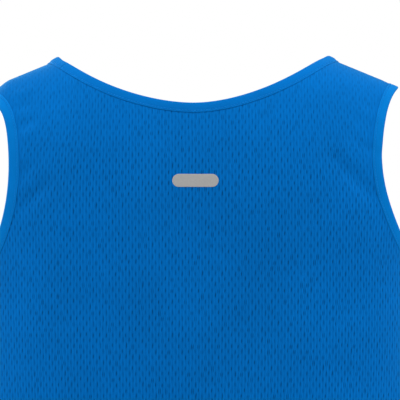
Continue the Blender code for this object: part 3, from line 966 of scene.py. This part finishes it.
def mesh_material():
    """Polyester mesh: upright slits in staggered columns, dented and darkened with painted shade, and
    lighter yarn between them.
    """
    material, tree, shader = new_material("Slit mesh", *MATT, SHEEN)
    column, row = uv_place(tree)
    slit, yarn = slit_pattern(tree, column, row)
    openness = attribute(tree, "openness")
    slit = times(tree, slit, openness)
    yarn = times(tree, yarn, openness)
    # The slits are shallow dents, and the dark in them is painted shade.
    colour = mix(tree, slit, mix(tree, yarn, MESH_BLUE, YARN_BLUE), SHADE_BLUE)
    blotches = ramp(tree, noise(tree, *MESH_BLOTCHES), *NOISE_RANGE, *MESH_TONES)
    tone = times(tree, blotches, streaks(tree, column, row))
    tree.links.new(scaled(tree, colour, tone), shader.inputs["Base Color"])

    courses = maths(tree, "SINE", times(tree, row, 2 * np.pi * COURSES_IN_REPEAT))
    grain = plus(tree, times(tree, courses, COURSE_RELIEF), noise(tree, *YARN_NOISE))
    relief = plus(tree, times(tree, grain, GRAIN_RELIEF), times(tree, yarn, YARN_RELIEF))
    add_bump(tree, shader, minus(tree, relief, slit), *MESH_BUMP)
    return material


def streaks(tree, column, row):
    """Fine light and dark threads that run up the mesh."""
    place = tree.nodes.new("ShaderNodeCombineXYZ")
    tree.links.new(times(tree, column, THREADS_IN_PITCH), place.inputs["X"])
    tree.links.new(times(tree, row, THREADS_IN_REPEAT), place.inputs["Y"])
    step = tree.nodes.new("ShaderNodeTexNoise")
    step.inputs["Scale"].default_value, step.inputs["Detail"].default_value = STREAK_NOISE
    tree.links.new(place.outputs["Vector"], step.inputs["Vector"])
    return ramp(tree, step.outputs["Fac"], *NOISE_RANGE, *STREAK_TONES)


def knit_material(name, blue):
    """A smooth knitted binding, with fine ribs, painted shadow on the turn under its edge, a painted
    highlight on its lip and painted shade at its join's seam.
    """
    material, tree, shader = new_material(name, *MATT, SHEEN)
    along, around = uv_place(tree)
    # Painted shadow where the leaf's edge meets the panel, as strong as the openness attribute allows.
    under = ramp(tree, maths(tree, "ABSOLUTE", around), *SHADOW_INSET_MM, 0.0, SHADOW_DARKNESS)
    under = times(tree, under, attribute(tree, "openness"))
    dark = maths(tree, "MAXIMUM", under, painted_join_shade(tree))
    blotches = ramp(tree, noise(tree, *KNIT_BLOTCHES), *NOISE_RANGE, *KNIT_TONES)
    # The binding's blue, with the lip's painted highlight and the painted shade under its edge and at
    # its join.
    colour = mix(tree, dark, mix(tree, painted_lip_highlight(tree, around), blue, THREAD_BLUE), SHADE_BLUE)
    tree.links.new(scaled(tree, colour, blotches), shader.inputs["Base Color"])
    wales = maths(tree, "SINE", times(tree, along, 2 * np.pi / WALE_MM))
    courses = maths(tree, "SINE", times(tree, around, 2 * np.pi / COURSE_MM))
    add_bump(tree, shader, plus(tree, wales, courses), *KNIT_BUMP)
    return material


def painted_lip_highlight(tree, around):
    """A painted highlight on the lip of a binding's leaf, inside its row of stitches."""
    inset_mm = maths(tree, "ABSOLUTE", around)
    inner = ramp(tree, inset_mm, *LIP_HIGHLIGHT_START_MM, 0.0, LIP_HIGHLIGHT)
    return times(tree, inner, ramp(tree, inset_mm, *LIP_HIGHLIGHT_END_MM, 1.0, 0.0))


def painted_join_shade(tree):
    """A short line of painted shade across the neck binding, cast by the step where its ends are sewn
    together.
    """
    (x_1, z_1), (x_2, z_2) = (np.array(end) * MM for end in JOIN_ENDS_MM)
    length = np.hypot(x_2 - x_1, z_2 - z_1)
    place = tree.nodes.new("ShaderNodeTexCoord")
    parts = tree.nodes.new("ShaderNodeSeparateXYZ")
    tree.links.new(place.outputs["Object"], parts.inputs["Vector"])
    x = minus(tree, parts.outputs["X"], (x_1 + x_2) / 2)
    z = minus(tree, parts.outputs["Z"], (z_1 + z_2) / 2)
    across = plus(tree, times(tree, x, (z_2 - z_1) / length), times(tree, z, (x_1 - x_2) / length))
    along = plus(tree, times(tree, x, (x_2 - x_1) / length), times(tree, z, (z_2 - z_1) / length))
    beside = ramp(tree, maths(tree, "ABSOLUTE", across), 0.0, 2 * JOIN_WIDTH, JOIN_SHADE_DARKNESS, 0.0)
    fade_start, fade_end = (part * length for part in JOIN_FADE)
    within = ramp(tree, maths(tree, "ABSOLUTE", along), fade_start, fade_end, 1.0, 0.0)
    outside = ramp(tree, parts.outputs["Y"], 0.0, JOIN_DEPTH, 0.0, 1.0)
    return times(tree, times(tree, beside, within), outside)


def thread_material():
    """Polyester sewing thread, a little lighter than the cloth."""
    material, tree, shader = new_material("Thread", *THREAD_GLOSS)
    shader.inputs["Base Color"].default_value = THREAD_BLUE
    add_bump(tree, shader, noise(tree, *THREAD_NOISE), *THREAD_BUMP)
    return material


def film_material():
    """A grey reflective film, pressed on and faintly dented by the mesh under it."""
    material, tree, shader = new_material("Reflective film", *FILM_GLOSS)
    beads = ramp(tree, noise(tree, *BEAD_NOISE), *NOISE_RANGE, 0.0, 1.0)
    tree.links.new(mix(tree, beads, DARK_BEADS, LIGHT_BEADS), shader.inputs["Base Color"])
    add_bump(tree, shader, noise(tree, *DENT_NOISE), *FILM_BUMP)
    return material


# ---- the singlet ----

MESH = mesh_material()
NECK_KNIT = knit_material("Neck knit", NECK_BLUE)
# The armholes' knit is a copy of the neck's, painted lighter as painted light.
ARMHOLE_KNIT_PAINTED_LIGHT = knit_material("Armhole knit painted lighter", ARMHOLE_PAINTED_LIGHT_BLUE)
SEWING = thread_material()

back = panel("back_mesh", BACK, MESH, BACK_SEED)
front = panel("front_mesh", FRONT, MESH, FRONT_SEED)
neck = band("neck_band", (LEFT, RIGHT), neck_lines, NECK_KNIT, is_neck=True)
arm_left = band("armhole_band_left", (LEFT,), armhole_lines, ARMHOLE_KNIT_PAINTED_LIGHT, width=LEFT_WIDTH)
arm_right = band("armhole_band_right", (RIGHT,), armhole_lines, ARMHOLE_KNIT_PAINTED_LIGHT, width=RIGHT_WIDTH)
neck_thread = binding_stitches("neck_stitches", (LEFT, RIGHT), neck_lines, SEWING)
left_thread = binding_stitches("armhole_stitches_left", (LEFT,), armhole_lines, SEWING, LEFT_WIDTH)
right_thread = binding_stitches("armhole_stitches_right", (RIGHT,), armhole_lines, SEWING, RIGHT_WIDTH)
back_thread = hem_stitches("hem_stitches_back", BACK, SEWING)
front_thread = hem_stitches("hem_stitches_front", FRONT, SEWING)
bar = reflective_bar("reflective_bar", film_material())

for thing, node, slot in ((back, "back_panel", "mesh"), (front, "front_panel", "mesh"),
                          (neck, "neck_binding", "binding"),
                          (arm_left, "armhole_binding_left", "binding"),
                          (arm_right, "armhole_binding_right", "binding")):
    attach(thing, "root")
    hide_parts(node)
for thing in (neck_thread, left_thread, right_thread, back_thread, front_thread, bar):
    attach(thing, "root")


# ---- the camera, the floor and the light ----

VIEW_WIDTH = 380 * MM
VIEW_CENTRE = (-4.3 * MM, -121 * MM)
DISTANCE = 12.0
SENSOR = 36 * MM
FAR = 200.0

camera = bpy.data.objects.new("Camera", bpy.data.cameras.new("Camera"))
camera.data.sensor_width = SENSOR / MM
camera.data.lens = DISTANCE * SENSOR / VIEW_WIDTH / MM
camera.data.clip_end = FAR
camera.location = (VIEW_CENTRE[0], DISTANCE, VIEW_CENTRE[1])
camera.rotation_euler = (np.radians(90), 0, np.radians(180))
bpy.context.scene.collection.objects.link(camera)
bpy.context.scene.camera = camera
bpy.context.scene.view_settings.view_transform = "Standard"

FLOOR_HEIGHT = -1.1
FLOOR_RADIUS = 30.0
FLOOR_SIDES = 96
SKY = 0.30                     # how strongly the world lights the scene

# Lamps: name, place, size and power.
LAMPS = (
    ("Key", (0.0, 0.8, 3.0), 2.5, 126),
    ("Left", (3.0, 0.6, 0.3), 2.0, 38),
    ("Right", (-3.0, 0.6, 0.3), 2.0, 45),
    ("Front", (2.0, -3.0, 0.7), 1.4, 85),
)
bpy.ops.mesh.primitive_circle_add(vertices=FLOOR_SIDES, radius=FLOOR_RADIUS, fill_type="NGON",
                                  location=(0, 0, FLOOR_HEIGHT))
floor = bpy.context.object
floor.name = "floor"
pale, _, pale_shader = new_material("Pale floor", *FLOOR_GLOSS)
pale_shader.inputs["Base Color"].default_value = FLOOR_GREY
floor.data.materials.append(pale)

world = bpy.data.worlds.new("Studio")
bpy.context.scene.world = world
world.use_nodes = True
sky = world.node_tree.nodes["Background"]
sky.inputs["Color"].default_value = WHITE

# The backdrop is white, and brighter than the light that it gives.
ray = world.node_tree.nodes.new("ShaderNodeLightPath")
strength = maths(world.node_tree, "MAXIMUM", ray.outputs["Is Camera Ray"], SKY)
world.node_tree.links.new(strength, sky.inputs["Strength"])


def lamp(name, place, size, power):
    """A soft square lamp that faces the singlet, level with the camera, and isn't seen itself."""
    light = bpy.data.objects.new(name, bpy.data.lights.new(name, "AREA"))
    light.data.size = size
    light.data.energy = power
    light.location = place
    away = light.location - Vector((0, 0, VIEW_CENTRE[1]))
    light.rotation_euler = away.to_track_quat("Z", "Y").to_euler()
    light.visible_camera = False
    bpy.context.scene.collection.objects.link(light)


for name, place, size, power in LAMPS:
    lamp(name, place, size, power)
